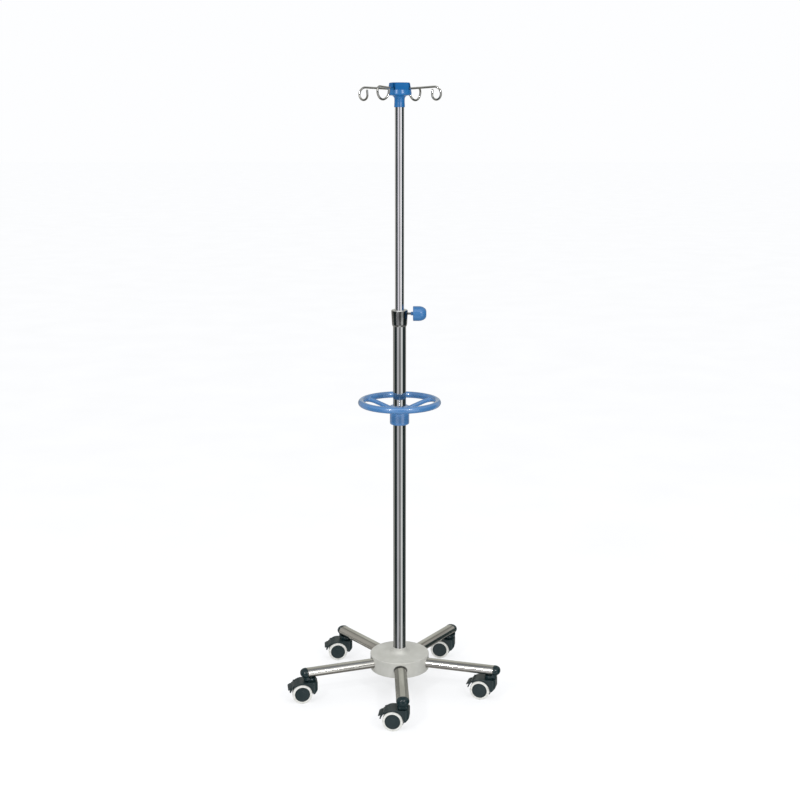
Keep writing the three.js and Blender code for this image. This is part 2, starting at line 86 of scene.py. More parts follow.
HEAD = {"neck_bottom": 1463.9, "neck_radius": 12.2, "flange_radius": 29.2, "underside": 1490.8}
HEAD_TOP = {"flange": 1503.8, "cap": 1520.4, "half_width": 21.5, "corner": 7}
HOOK = {"wire": 2.5, "exit_z": 1506.6, "peak_x": 93.2, "peak_z": 1510, "loop": 14.6, "shift": 15.6}
FLANGE_DRAFT = 1.8
HOOK_COUNT = 4
HOOKS = range(1, HOOK_COUNT + 1)
FIRST_HOOK_DEG = 61

WHEEL = {"radius": 25, "inner": 4.8, "outer": 21.8, "rim": 19}
CASTOR = {"half_width": 22, "hood_inner": 26.6, "hood_outer": 29.2, "web": 4.2, "trail": 22.5}
HOOD_FRONT = {"x": 39.5, "round": 12, "chin_z": 7.5, "foot_x": 31.6, "heel_x": 27.7, "foot_z": -0.8}
STEM = {"radius": 5.5, "top": 82}
AXLE = {"radius": 3, "half_length": 19.5}
LEVER = {"pivot_radius": 28.9, "pivot_deg": 132, "end_deg": 170, "half_width": 20, "inner": 27.4}

# ---------- places, from the frame ----------

MAST = Vector(JOINTS["mast_turn"]["pos_m"])
MAST.z = 0
AT_MAST = Matrix.Translation(MAST)


def leg_turn(number):
    """The turn about the mast from +X to a leg."""
    swivel = Vector(JOINTS[f"castor_{number}_swivel"]["pos_m"]) - MAST
    return Matrix.Rotation(math.atan2(swivel.y, swivel.x), 4, "Z")


def leg_place(number):
    """The frame of a leg: its origin is under the mast and +X runs out along the leg."""
    return AT_MAST @ leg_turn(number)


def castor_place(number):
    """The frame of a castor: its origin is the middle of the axle, +X runs to the stem."""
    spin = JOINTS[f"wheel_{number}a_spin"]
    axle = Vector(spin["pos_m"])
    across = Vector(spin["axis"])
    ahead = across.cross(Vector((0, 0, 1)))
    turned = Matrix((ahead, across, (0, 0, 1))).transposed().to_4x4()
    return Matrix.Translation(axle) @ turned


def hook_turn(number):
    """The turn about the mast from +X to a hook."""
    return Matrix.Rotation(math.radians(FIRST_HOOK_DEG + 360 * (number - 1) / HOOK_COUNT), 4, "Z")


# ---------- outlines ----------

ARC_STEP = 0.16  # radians between the points of a rounded corner


def polar(radius, degrees):
    turn = math.radians(degrees)
    return radius * math.cos(turn), radius * math.sin(turn)


def arc(radius, from_deg, to_deg, steps):
    """Points along an arc about the origin."""
    return [polar(radius, from_deg + (to_deg - from_deg) * i / steps) for i in range(steps + 1)]


def ellipse(half_width, half_height, sides=64):
    return [(half_width * x, half_height * z) for x, z in arc(1, 0, 360, sides)[:-1]]


def rounded(corners, closed=True):
    """The outline through (x, y, radius) corners, each rounded off to its radius; 0 stays sharp."""
    outline = []
    for i, (x, y, radius) in enumerate(corners):
        here = Vector((x, y))
        if radius == 0 or (not closed and i in (0, len(corners) - 1)):
            outline.append((x, y))
            continue
        to_last = (Vector(corners[i - 1][:2]) - here).normalized()
        to_next = (Vector(corners[(i + 1) % len(corners)][:2]) - here).normalized()
        corner = to_last.angle(to_next)
        centre = here + (to_last + to_next).normalized() * radius / math.sin(corner / 2)
        start = here + to_last * radius / math.tan(corner / 2) - centre
        sweep = math.copysign(math.pi - corner, to_next.cross(to_last))
        steps = max(2, math.ceil(abs(sweep) / ARC_STEP))
        first = math.atan2(start.y, start.x)
        for step in range(steps + 1):
            turn = first + sweep * step / steps
            outline.append((centre.x + radius * math.cos(turn), centre.y + radius * math.sin(turn)))
    return outline


# ---------- meshes ----------


def mesh_from(vertices, faces):
    """A mesh from points in millimetres, with its faces turned outwards."""
    mesh = bpy.data.meshes.new("piece")
    mesh.from_pydata([Vector(v) * MM for v in vertices], [], faces)
    work = bmesh.new()
    work.from_mesh(mesh)
    bmesh.ops.remove_doubles(work, verts=work.verts, dist=1e-7)
    bmesh.ops.recalc_face_normals(work, faces=work.faces)
    work.to_mesh(mesh)
    work.free()
    return mesh


def grid_faces(rows, wrap_rows, columns):
    """Quads between rows of points that each close on themselves."""
    faces = []
    last = rows if wrap_rows else rows - 1
    for row in range(last):
        above = (row + 1) % rows
        for i in range(columns):
            j = (i + 1) % columns
            faces.append((row * columns + i, row * columns + j, above * columns + j, above * columns + i))
    return faces


def capped_faces(rows, columns):
    """Quads between rows of points, with one face over the first row and one over the last."""
    ends = [tuple(range(columns)), tuple(range((rows - 1) * columns, rows * columns))]
    return grid_faces(rows, False, columns) + ends


def braced(profile, ring):
    """The profile with points near the ends of its long sides, so that only its corners look round."""
    points = []
    for i, (r, z) in enumerate(profile):
        points.append((r, z))
        if not ring and i == len(profile) - 1:
            break
        next_r, next_z = profile[(i + 1) % len(profile)]
        share = 0.4 / max(math.hypot(next_r - r, next_z - z), 0.4)
        if share < 0.15:
            for part in (share, 1 - share):
                points.append((r + (next_r - r) * part, z + (next_z - z) * part))
    return points


def lathe(profile, ring=True, segments=96):
    """A surface turned about Z from (radius, height) points; a ring's profile closes on itself."""
    profile = braced(profile, ring)
    turns = np.linspace(0, math.tau, segments, endpoint=False)
    vertices = [(r * math.cos(t), r * math.sin(t), z) for r, z in profile for t in turns]
    return mesh_from(vertices, grid_faces(len(profile), ring, segments))


def turned(*corners, segments=96):
    """A ring turned about Z from (radius, height, rounding) corners."""
    return lathe(rounded(corners), segments=segments)


def cylinder(radius, low, high, segments=96):
    return lathe([(0, low), (radius, low), (radius, high), (0, high)], False, segments)


def slab(outline, half_width, edge=0.8, steps=3):
    """An (x, z) outline made twice half_width wide along Y, with rounded edges."""
    flat = np.array(outline, float)
    along = np.roll(flat, -1, 0) - np.roll(flat, 1, 0)
    inwards = np.stack([-along[:, 1], along[:, 0]], 1)
    inwards /= np.linalg.norm(inwards, axis=1, keepdims=True)
    turns = np.linspace(0, math.pi / 2, steps + 1)
    side = [(half_width - edge + edge * math.cos(t), edge * (1 - math.sin(t))) for t in turns]
    levels = [(-y, inset) for y, inset in side] + side[::-1]
    vertices = []
    for y, inset in levels:
        vertices += [(x, y, z) for x, z in flat + inwards * inset]
    return mesh_from(vertices, capped_faces(len(levels), len(flat)))


def round_bar(radius, half_width, edge, sides=24):
    """A bar along Y with rounded edges."""
    return slab(ellipse(radius, radius, sides), half_width, edge)


def smooth_line(points, per_span=8):
    """Points on a Catmull-Rom curve through the given ones."""
    known = np.array([points[0], *points, points[-1]], float)
    line = []
    for a, b, c, d in zip(known, known[1:], known[2:], known[3:]):
        square = 2 * a - 5 * b + 4 * c - d
        cube = 3 * b - a - 3 * c + d
        for t in np.arange(per_span) / per_span:
            line.append(0.5 * (2 * b + (c - a) * t + square * t**2 + cube * t**3))
    line.append(known[-1])
    return [Vector(p) for p in line]


def wire(points, radius, sides=20, dome_steps=4):
    """A round wire with domed ends along a line of points."""
    ahead = [(b - a).normalized() for a, b in zip(points, points[1:])]
    ahead = [ahead[0]] + [(a + b).normalized() for a, b in zip(ahead, ahead[1:])] + [ahead[-1]]
    across = ahead[0].orthogonal().normalized()
    stations = []
    for centre, direction in zip(points, ahead):
        across = (across - direction * across.dot(direction)).normalized()
        stations.append((centre, across.copy(), direction.cross(across), radius))
    turns = [math.pi / 2 * i / (dome_steps + 0.2) for i in range(1, dome_steps + 1)]
    domes = []
    for index, sign in ((0, -1), (-1, 1)):
        centre, u, v, _ = stations[index]
        out = ahead[index] * sign * radius
        domes.append([(centre + out * math.sin(t), u, v, radius * math.cos(t)) for t in turns])
    stations = domes[0][::-1] + stations + domes[1]
    vertices = []
    for centre, u, v, size in stations:
        for side in range(sides):
            turn = math.tau * side / sides
            vertices.append(centre + (u * math.cos(turn) + v * math.sin(turn)) * size)
    return mesh_from(vertices, capped_faces(len(stations), sides))


def moved(mesh, matrix):
    """A copy of a mesh, moved by a matrix in millimetres."""
    copy = mesh.copy()
    shift = Matrix.Translation(matrix.to_translation() * MM)
    copy.transform(shift @ matrix.to_3x3().to_4x4())
    return copy


def joined(meshes):
    work = bmesh.new()
    for mesh in meshes:
        work.from_mesh(mesh)
    whole = bpy.data.meshes.new("joined")
    work.to_mesh(whole)
    work.free()
    return whole


def with_modifiers(mesh, *modifiers):
    """The mesh after a row of modifiers, each given as (kind, settings)."""
    holder = bpy.data.objects.new("holder", mesh)
    SCENE.collection.objects.link(holder)
    for kind, settings in modifiers:
        modifier = holder.modifiers.new(kind.lower(), kind)
        for key, value in settings.items():
            setattr(modifier, key, value)
    depsgraph = bpy.context.evaluated_depsgraph_get()
    result = bpy.data.meshes.new_from_object(holder.evaluated_get(depsgraph))
    bpy.data.objects.remove(holder)
    return result


def boolean(mesh, tool, operation="DIFFERENCE"):
    """The mesh cut by, joined with or limited to another."""
    holder = bpy.data.objects.new("tool", tool)
    SCENE.collection.objects.link(holder)
    settings = {"object": holder, "operation": operation, "solver": "EXACT"}
    result = with_modifiers(mesh, ("BOOLEAN", settings))
    bpy.data.objects.remove(holder)
    return result


def moulded(meshes, voxel, smoothing=6):
    """One surface around several closed meshes, with soft edges and small fillets, as a moulding has."""
    return with_modifiers(
        joined(meshes),
        ("REMESH", {"mode": "VOXEL", "voxel_size": voxel * MM}),
        ("SMOOTH", {"factor": 0.5, "iterations": smoothing}),
    )


def piece(name, mesh, place, finish, body, nodes=(), sharp_deg=38):
    """Places a mesh, gives it its material, which is named after its slot, ties it to its CAD body and
    hides its nodes.
    """
    made = bpy.data.objects.new(name, mesh)
    SCENE.collection.objects.link(made)
    made.matrix_world = place
    mesh.shade_smooth()
    mesh.set_sharp_from_angle(angle=math.radians(sharp_deg))
    mesh.materials.clear()
    mesh.materials.append(finish.material)
    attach(made, body)
    if nodes:
        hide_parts(*nodes)
    return made


# ---------- materials ----------


def srgb(red, green, blue):
    """A colour from its 0 to 255 values on screen."""
    return (*[((c / 255 + 0.055) / 1.055) ** 2.4 if c > 10 else c / 3295 for c in (red, green, blue)], 1)


class Finish:
    """A procedural material around one Principled shader, named after the record's slot."""

    def __init__(self, slot, **values):
        self.slot = slot
        self.material = bpy.data.materials.new(f"{slot}_look")
        self.material.use_nodes = True
        self.tree = self.material.node_tree
        self.shader = self.tree.nodes["Principled BSDF"]
        for name, value in values.items():
            self.shader.inputs[name.replace("_", " ")].default_value = value
        self.place = self.node("ShaderNodeTexCoord").outputs["Object"]

    def node(self, kind, **inputs):
        made = self.tree.nodes.new(kind)
        for name, value in inputs.items():
            self.feed(made.inputs[name.replace("_", " ")], value)
        return made

    def feed(self, socket, value):
        if isinstance(value, bpy.types.NodeSocket):
            self.tree.links.new(value, socket)
        else:
            socket.default_value = value

    def noise(self, scale, stretch=(1, 1, 1), detail=3, place=None):
        """Noise with this many grains to the metre along each stretched axis."""
        mapping = self.node("ShaderNodeMapping", Vector=place or self.place, Scale=stretch)
        made = self.node("ShaderNodeTexNoise", Vector=mapping.outputs[0], Scale=scale, Detail=detail)
        return made.outputs["Fac"]

    def ramp(self, factor, low, high, start=0.3, end=0.7):
        """A value or colour that runs from low to high as the factor goes from start to end."""
        made = self.node("ShaderNodeValToRGB", Fac=factor)
        for stop, position, value in zip(made.color_ramp.elements, (start, end), (low, high)):
            stop.position = position
            stop.color = value if isinstance(value, tuple) else (value, value, value, 1)
        return made.outputs["Color"]

    def maths(self, operation, first, second=0.0):
        made = self.node("ShaderNodeMath")
        made.operation = operation
        self.feed(made.inputs[0], first)
        self.feed(made.inputs[1], second)
        return made.outputs[0]

    def mixed(self, factor, low, high):
        """A colour mixed from two; the node's colour sockets come after its float and vector ones."""
        made = self.node("ShaderNodeMix")
        made.data_type = "RGBA"
        self.feed(made.inputs[0], factor)
        self.feed(made.inputs[6], low)
        self.feed(made.inputs[7], high)
        return made.outputs[2]

    def bump(self, height, distance, strength):
        made = self.node("ShaderNodeBump", Height=height, Distance=distance, Strength=strength)
        return made.outputs["Normal"]

    def finish(self, colour=None, roughness=None, normal=None):
        for name, value in (("Base Color", colour), ("Roughness", roughness), ("Normal", normal)):
            if value is not None:
                self.feed(self.shader.inputs[name], value)
        return self


def tube_steel(low, high, roughness):
    """Polished tube and wire, with faint polishing lines along the length and a few rubs."""
    f = Finish("stainless", Metallic=1.0)
    lines = f.noise(500, (1, 1, 0.004), 2)
    rubs = f.noise(26, (1, 1, 0.5), 5)
    rough_low, rough_high = roughness
    return f.finish(
        f.ramp(rubs, low, high), f.ramp(rubs, rough_low, rough_high), f.bump(lines, 0.00002, 0.02)
    )


def leg_steel():
    """Leg tube, drawn and belt ground, so that its lines and smears run along the leg."""
    f = Finish("stainless", Metallic=1.0)
    lines = f.noise(700, (0.015, 1, 1), 3)
    smears = f.noise(60, (0.12, 1, 1.4), 4)
    colour = f.ramp(smears, srgb(196, 194, 188), srgb(234, 233, 227))
    return f.finish(colour, f.ramp(smears, 0.1, 0.24), f.bump(lines, 0.00004, 0.3))


def brushed_cover():
    """Spun and satin brushed cover: fine rings about the mast and soft cloudy patches."""
    f = Finish("brushed_cover", Metallic=0.3)
    split = f.node("ShaderNodeSeparateXYZ", Vector=f.place)
    across = f.node("ShaderNodeVectorMath", Vector=f.place)
    across.operation = "MULTIPLY"
    across.inputs[1].default_value = (1, 1, 0)
    length = f.node("ShaderNodeVectorMath", Vector=across.outputs["Vector"])
    length.operation = "LENGTH"
    rings = f.node("ShaderNodeCombineXYZ", X=length.outputs["Value"], Y=split.outputs["Z"])
    fine = f.noise(2600, detail=2, place=rings.outputs[0])
    clouds = f.noise(45, detail=4)
    colour = f.ramp(clouds, srgb(193, 193, 186), srgb(203, 203, 197))
    return f.finish(colour, f.ramp(fine, 0.48, 0.6), f.bump(fine, 0.00003, 0.35))


def cast_core():
    """Sand cast iron under a thin grey primer."""
    f = Finish("cast_core", Metallic=0.3)
    grain = f.noise(900, detail=6)
    patches = f.noise(60)
    colour = f.ramp(patches, srgb(88, 90, 90), srgb(116, 117, 115))
    return f.finish(colour, f.ramp(grain, 0.6, 0.8), f.bump(grain, 0.0004, 0.6))


def chrome():
    """Plated collar: a painted highlight brightens the bevels at both ends, and the body between them is
    painted dark grey as a painted reflection of dark surroundings, with wipes that vary its tone.
    """
    f = Finish("chrome", Metallic=1.0)
    middle = (COLLAR["bottom"] + COLLAR["top"]) / 2
    half = (COLLAR["top"] - COLLAR["bottom"]) / 2
    height = f.node("ShaderNodeSeparateXYZ", Vector=f.place).outputs["Z"]
    away = f.maths("ABSOLUTE", f.maths("SUBTRACT", height, middle * MM))
    # A mask for the bevels at both ends, where a painted highlight is laid on.
    bevel_highlight_mask = f.node("ShaderNodeMapRange", Value=away)
    bevel_highlight_mask.inputs["From Min"].default_value = (half - 2.6) * MM
    bevel_highlight_mask.inputs["From Max"].default_value = (half - 1.4) * MM
    peel = f.noise(160, (1, 1, 0.6), 3)
    wipes = f.noise(90, (1, 1, 0.3), 4)
    # Painted reflection: the body's dark grey stands in for the dark surroundings it mirrors. The bevels'
    # pale grey is a painted highlight.
    body = f.ramp(wipes, srgb(100, 103, 102), srgb(172, 174, 172))
    colour = f.mixed(bevel_highlight_mask.outputs["Result"], body, srgb(214, 216, 214))
    return f.finish(colour, f.ramp(wipes, 0.06, 0.16), f.bump(peel, 0.0006, 0.5))


def steel_hardware():
    """Zinc plated screws and axles."""
    f = Finish("steel_hardware", Metallic=1.0)
    spots = f.noise(700, detail=4)
    colour = f.ramp(spots, srgb(150, 150, 145), srgb(190, 190, 186))
    return f.finish(colour, f.ramp(spots, 0.22, 0.42), f.bump(spots, 0.00005, 0.3))


def plastic(slot, dark, light, roughness, grain=1400, depth=0.00001, gloss=0.0, mirror=0.5):
    """Moulded plastic: a slight colour drift, a fine grain, and a gloss that rubs dull in places."""
    f = Finish(slot, Coat_Weight=gloss, Coat_Roughness=0.08, Specular_IOR_Level=mirror)
    drift = f.noise(24)
    texture = f.noise(grain, detail=2)
    dull = f.noise(110, detail=5)
    low, high = roughness
    return f.finish(f.ramp(drift, dark, light), f.ramp(dull, low, high), f.bump(texture, depth, 0.5))


def pale_tyre():
    """Soft thermoplastic rubber, a little yellowed and scuffed, with a matt skin."""
    f = Finish("pale_tyre", IOR=1.5)
    scuffs = f.noise(170, detail=5)
    skin = f.noise(2200, detail=2)
    colour = f.ramp(scuffs, srgb(196, 196, 190), srgb(224, 224, 220))
    return f.finish(colour, f.ramp(scuffs, 0.5, 0.68), f.bump(skin, 0.00003, 0.5))


LOWER_STEEL = tube_steel(srgb(188, 190, 189), srgb(198, 200, 199), (0.02, 0.05))
UPPER_STEEL = tube_steel(srgb(236, 235, 239), srgb(246, 245, 248), (0.08, 0.12))
WIRE_STEEL = tube_steel(srgb(196, 196, 190), srgb(214, 214, 208), (0.05, 0.1))
COVER_METAL = brushed_cover()
CORE_METAL = cast_core()
CHROME = chrome()
HARDWARE = steel_hardware()
# The ring's blue is the knob's moulding made lighter: painted sheen for the highlights spread along its
# tube.
BLUE_RING_PAINTED_SHEEN = plastic("blue_moulding", srgb(58, 114, 169), srgb(66, 121, 175), (0.22, 0.3), gloss=1, mirror=1)
BLUE_KNOB = plastic("blue_moulding", srgb(44, 104, 158), srgb(51, 110, 163), (0.26, 0.36), gloss=0.7)
# The head body's blue is lighter than the cap's, though both are one moulding: painted sheen for the lamp
# highlights on its neck, on top of its real gloss.
BLUE_HEAD_PAINTED_SHEEN = plastic(
    "blue_head", srgb(20, 93, 152), srgb(26, 100, 158), (0.24, 0.3), depth=0.000003, gloss=0.35
)
BLUE_CAP = plastic("blue_head", srgb(10, 82, 138), srgb(15, 88, 144), (0.46, 0.54), mirror=0.12)
BUSH_WHITE = plastic("white_bush", srgb(222, 222, 214), srgb(234, 234, 228), (0.35, 0.5))
TYRE = pale_tyre()
BLACK = plastic("black_plastic", srgb(22, 38, 41), srgb(30, 46, 48), (0.28, 0.38), 1800, 0.00002)
BLACK_CAP = plastic("black_plastic", srgb(17, 36, 40), srgb(25, 43, 46), (0.14, 0.2), 1800)
LEG_STEEL = leg_steel()

# ---------- base ----------


def cover_mesh():
    """The spun cover with its trumpet neck and five oval leg openings."""
    c = COVER
    bore = LOWER_TUBE["radius"] + GAP
    flare, steps = 13, 14
    turns = [math.pi / 2 * i / steps for i in range(steps + 1)]
    rise = c["neck_top"] - c["top"]
    neck = [
        (c["neck_radius"] + flare * (1 - math.sin(t)), c["top"] + rise * (1 - math.cos(t)), 0)
        for t in turns
    ]
    outside = [
        (bore, c["top"] - c["wall"], 0),
        (c["radius"] - c["wall"], c["top"] - c["wall"], 1.5),
        (c["radius"] - c["wall"], c["bottom"], 0.6),
        (c["radius"], c["bottom"], 0.6),
        (c["radius"], c["top"], 2.2),
        *neck,
        (bore, c["neck_top"], 0),
    ]
    shell = lathe(rounded(outside), segments=160)
    half_height = (HOLE["top"] - HOLE["bottom"]) / 2
    hole = ellipse(HOLE["half_width"], half_height, 56)
    cutter = moved(slab(hole, 12, 0.1), Matrix.Translation((0, 0, HOLE["bottom"] + half_height)))
    across = Matrix.Rotation(math.pi / 2, 4, "Z")
    for number in LEGS:
        at = leg_turn(number) @ Matrix.Translation((c["radius"], 0, 0)) @ across
        shell = boolean(shell, moved(cutter, at))
    return shell


def core_mesh():
    """The casting inside the cover: a hub with five spigots for the legs."""
    bore = LOWER_TUBE["radius"] + GAP
    hub = turned(
        (0, CORE["bottom"], 0),
        (CORE["radius"], CORE["bottom"], 2),
        (CORE["radius"], CORE["top"], 2),
        (bore, CORE["top"], 0.8),
        (bore, CORE["bottom"] + CORE["floor"], 0),
        (0, CORE["bottom"] + CORE["floor"], 0),
        segments=64,
    )
    middle = (SPIGOT["inner"] + SPIGOT["end"]) / 2
    half_length = (SPIGOT["end"] - SPIGOT["inner"]) / 2
    half_height = SPIGOT["half_height"]
    outline = [(-half_length, -half_height, 2), (half_length, -half_height, 2)]
    outline += [(half_length, half_height, 2), (-half_length, half_height, 2)]
    spigot = slab(rounded(outline), SPIGOT["half_width"], 2)
    parts = [hub]
    for number in LEGS:
        parts.append(moved(spigot, leg_turn(number) @ Matrix.Translation((middle, 0, LEG["z"]))))
    return joined(parts)


def leg_mesh():
    """A flat oval tube along +X with turned edges at its ends."""
    a, b, wall = LEG["half_width"], LEG["half_height"], LEG["wall"]
    inner, end, edge = LEG["inner"], LEG["end"], 0.35
    rings = [
        (inner, wall),
        (inner, edge),
        (inner + edge, 0),
        (inner + 4 * edge, 0),
        (end - 4 * edge, 0),
        (end - edge, 0),
        (end, edge),
        (end, wall),
    ]
    vertices = []
    for x, inset in rings:
        vertices += [(x, y, LEG["z"] + z) for y, z in ellipse(a - inset, b - inset)]
    return mesh_from(vertices, grid_faces(len(rings), True, 64))


def seal_mesh():
    """The thin dark seal between a leg and the cover, just inside the cover's hole."""
    half_height = (HOLE["top"] - HOLE["bottom"]) / 2
    middle = HOLE["bottom"] + half_height
    front, back = COVER["radius"] - COVER["wall"] - 0.4, COVER["radius"] - COVER["wall"] - 2.4
    outer = [(y, middle + z) for y, z in ellipse(HOLE["half_width"] + 1.2, half_height + 1.2)]
    inner = [(y, LEG["z"] + z) for y, z in ellipse(LEG["half_width"] + 0.1, LEG["half_height"] + 0.1)]
    vertices = []
    for x, ring in ((front, outer), (front, inner), (back, inner), (back, outer)):
        vertices += [(x, y, z) for y, z in ring]
    return mesh_from(vertices, grid_faces(4, True, len(outer)))


def nose_mesh():
    """The domed end of a leg cap: a quarter of a slightly square ellipsoid turned about the leg."""
    start = LEG["end"] + GAP
    power = 2 / NOSE["fullness"]
    steps, sides = 14, 48
    insert, insert_size = 8, 0.86
    vertices = []
    levels = [(start - insert, insert_size), (start, insert_size)]
    for i in range(steps):
        turn = math.pi / 2 * i / steps
        levels.append((start + NOSE["depth"] * math.sin(turn) ** power, math.cos(turn) ** power))
    for x, size in levels:
        ring = ellipse(NOSE["half_width"] * size, NOSE["half_height"] * size, sides)
        vertices += [(x, y, LEG["z"] + z) for y, z in ring]
    return mesh_from(vertices, capped_faces(len(levels), sides))


def cap_mesh():
    """A leg's end cap: nose, lug and the flanged socket of the castor stem."""
    under_leg = LEG["z"] - LEG["half_height"] - GAP
    swivel = SOCKET["x"]
    bottom = SOCKET["bottom"]
    lug = rounded(
        [
            (swivel, bottom + GAP, 0),
            (LUG["end"], bottom + GAP, 2.2),
            (LUG["end"], LEG["z"], 0),
            (LEG["end"] + GAP, LEG["z"], 0),
            (LEG["end"] + GAP, under_leg, 0),
            (swivel, under_leg, 0),
        ]
    )
    radius, fillet = SOCKET["radius"], SOCKET["fillet"]
    bore = STEM["radius"] + 0.5
    top = under_leg - 0.4
    flange = turned(
        (bore, bottom, 0), (radius, bottom, 0.8), (radius, top, fillet), (bore, top, 0), segments=64
    )
    flange = moved(flange, Matrix.Translation((swivel, 0, 0)))
    return moulded([nose_mesh(), slab(lug, LUG["half_width"], 6, 6), flange], 0.5, 22)


shell = piece("base_cover_shell", cover_mesh(), AT_MAST, COVER_METAL, "base", ["base_cover"])
# The tubes don't mirror the cover, so that their bands run down to it.
shell.visible_glossy = False
piece("base_core_casting", core_mesh(), AT_MAST, CORE_METAL, "base", ["base_core"])
LEG_MESH = leg_mesh()
CAP_MESH = cap_mesh()
SEAL_MESH = seal_mesh()
for number in LEGS:
    place = leg_place(number)
    piece(f"leg_tube_{number}", LEG_MESH, place, LEG_STEEL, "base", [f"leg_{number}"])
    piece(f"leg_end_cap_{number}", CAP_MESH, place, BLACK_CAP, "base", [f"leg_cap_{number}"])
    piece(f"leg_seal_{number}", SEAL_MESH, place, CORE_METAL, "base")


def socket_screw(radius, height, socket):
    """A socket head screw, head up, with its hexagonal recess."""
    head = lathe(
        rounded([(0, 0, 0), (radius, 0, 0.3), (radius, height, 0.6), (0, height, 0)], closed=False),
        ring=False,
        segments=40,
    )
    return boolean(head, cylinder(socket, height * 0.4, height + 1, 6))


# Screws that hold the legs and the mast on the core, seen from below.
HEAD_DOWN = Matrix.Rotation(math.pi, 4, "X")
LEG_SCREW = moved(socket_screw(*SCREW_HEADS["leg"]), HEAD_DOWN)
for number in LEGS:
    under = LEG["z"] - LEG["half_height"]
    place = leg_place(number) @ Matrix.Translation(Vector((LEG_SCREW_X, 0, under)) * MM)
    piece(f"leg_screw_{number}", LEG_SCREW, place, HARDWARE, "base")
MAST_SCREW = moved(socket_screw(*SCREW_HEADS["mast"]), HEAD_DOWN)
under_core = Matrix.Translation((0, 0, CORE["bottom"] * MM))
piece("mast_screw", MAST_SCREW, AT_MAST @ under_core, HARDWARE, "base")

# ---------- castors: the axle is at the origin along Y and the stem is at +X ----------


def housing_mesh():
    """The hood over both wheels with its round front, the web between them, and the lever's ears."""
    c, f = CASTOR, HOOD_FRONT
    inner, outer = c["hood_inner"], c["hood_outer"]
    hood_end = LEVER["pivot_deg"] - 1
    corners = [(x, z, 0) for x, z in arc(outer, hood_end, 90, 10)]
    corners += [
        (f["x"], outer, 3.6),
        (f["x"], f["chin_z"], 4),
        (f["foot_x"], f["foot_z"], 1.6),
        (f["heel_x"], f["foot_z"], 1.2),
    ]
    corners += [(x, z, 0) for x, z in arc(inner, 4, hood_end, 26)]
    hood = slab(rounded(corners), c["half_width"], 1.4)
    side, tail = c["half_width"] + 0.01, -outer - 6
    plan = rounded(
        [(tail, -side, 0), (f["x"], -side, f["round"]), (f["x"], side, f["round"]), (tail, side, 0)]
    )
    # A slab's outline lies in X and Z, so the plan is laid flat by a quarter turn about X.
    limits = moved(slab(plan, 60, 0.1), Matrix.Rotation(math.pi / 2, 4, "X"))
    hood = boolean(hood, limits, "INTERSECT")
    web = [(x, z) for x, z in arc(inner + 1, -35, 118, 16)] + [(-7, 6), (-7, -6)]
    pivot = polar(LEVER["pivot_radius"], LEVER["pivot_deg"])
    parts = [hood, slab(web, c["web"], 0.4)]
    ear = round_bar(3.2, 1.2, 0.4)
    for side in (-1, 1):
        at = Matrix.Translation((pivot[0], side * (LEVER["half_width"] - 1.4), pivot[1]))
        parts.append(moved(ear, at))
    return moulded(parts, 0.65, 10)


def stem_mesh():
    """The steel swivel stem with its groove and chamfered tip."""
    radius, top = STEM["radius"], STEM["top"] - WHEEL["radius"]
    foot, groove = 20, radius - 0.8
    profile = [
        (0, foot),
        (radius, foot),
        (radius, top - 8),
        (groove, top - 7.6),
        (groove, top - 6.4),
        (radius, top - 6),
        (radius, top - 1),
        (radius - 1, top),
        (0, top),
    ]
    stem = lathe(profile, False, 40)
    return moved(stem, Matrix.Translation((CASTOR["trail"], 0, 0)))


def lever_mesh():
    """The brake lever: a curved tail of the hood with a foot tab, hinged on two stubs."""
    start, end = LEVER["pivot_deg"], LEVER["end_deg"]
    steps = 14
    thickness, opening = 3.2, 1.8

    def line(further_out):
        """The lever's inner line, or one that lies further out."""
        return [
            polar(LEVER["inner"] + opening * i / steps + further_out, start + (end - start) * i / steps)
            for i in range(steps + 1)
        ]

    shell = slab(line(thickness) + line(0)[::-1], LEVER["half_width"], 0.9)
    tab = rounded(
        [
            (*polar(30, 149), 0),
            (*polar(33.6, 148.5), 1.2),
            (*polar(38.2, 160.6), 1.1),
            (*polar(36.2, 163.4), 1.1),
        ]
    )
    pivot = polar(LEVER["pivot_radius"], LEVER["pivot_deg"])
    at_pivot = Matrix.Translation((pivot[0], 0, pivot[1]))
    barrel = moved(round_bar(2.4, 16.8, 0.3), at_pivot)
    stub = moved(round_bar(1.2, 19.6, 0.2, 16), at_pivot)
    room = round_bar(4.1, 3, 0.1, 32)
    for side in (-1, 1):
        at = Matrix.Translation((pivot[0], side * (LEVER["half_width"] + 0.05), pivot[1]))
        shell = boolean(shell, moved(room, at))
    return moulded([shell, slab(tab, LEVER["half_width"] - 3, 1), barrel, stub], 0.5, 8)


def lay(mesh):
    """Turns a piece made about Z so that it lies along Y, outwards on the -Y side."""
    return moved(mesh, Matrix.Rotation(math.pi / 2, 4, "X"))


def tyre_mesh():
    """A tyre with round shoulders and a fine parting line on its tread."""
    w = WHEEL
    middle = (w["inner"] + w["outer"]) / 2
    half_line, line_depth = 0.35, 0.12
    tyre = turned(
        (w["rim"], w["inner"], 0.4),
        (w["radius"], w["inner"], 2.4),
        (w["radius"], middle - half_line, 0),
        (w["radius"] - line_depth, middle, 0),
        (w["radius"], middle + half_line, 0),
        (w["radius"], w["outer"], 3),
        (w["rim"], w["outer"], 0.5),
        segments=120,
    )
    return lay(tyre)


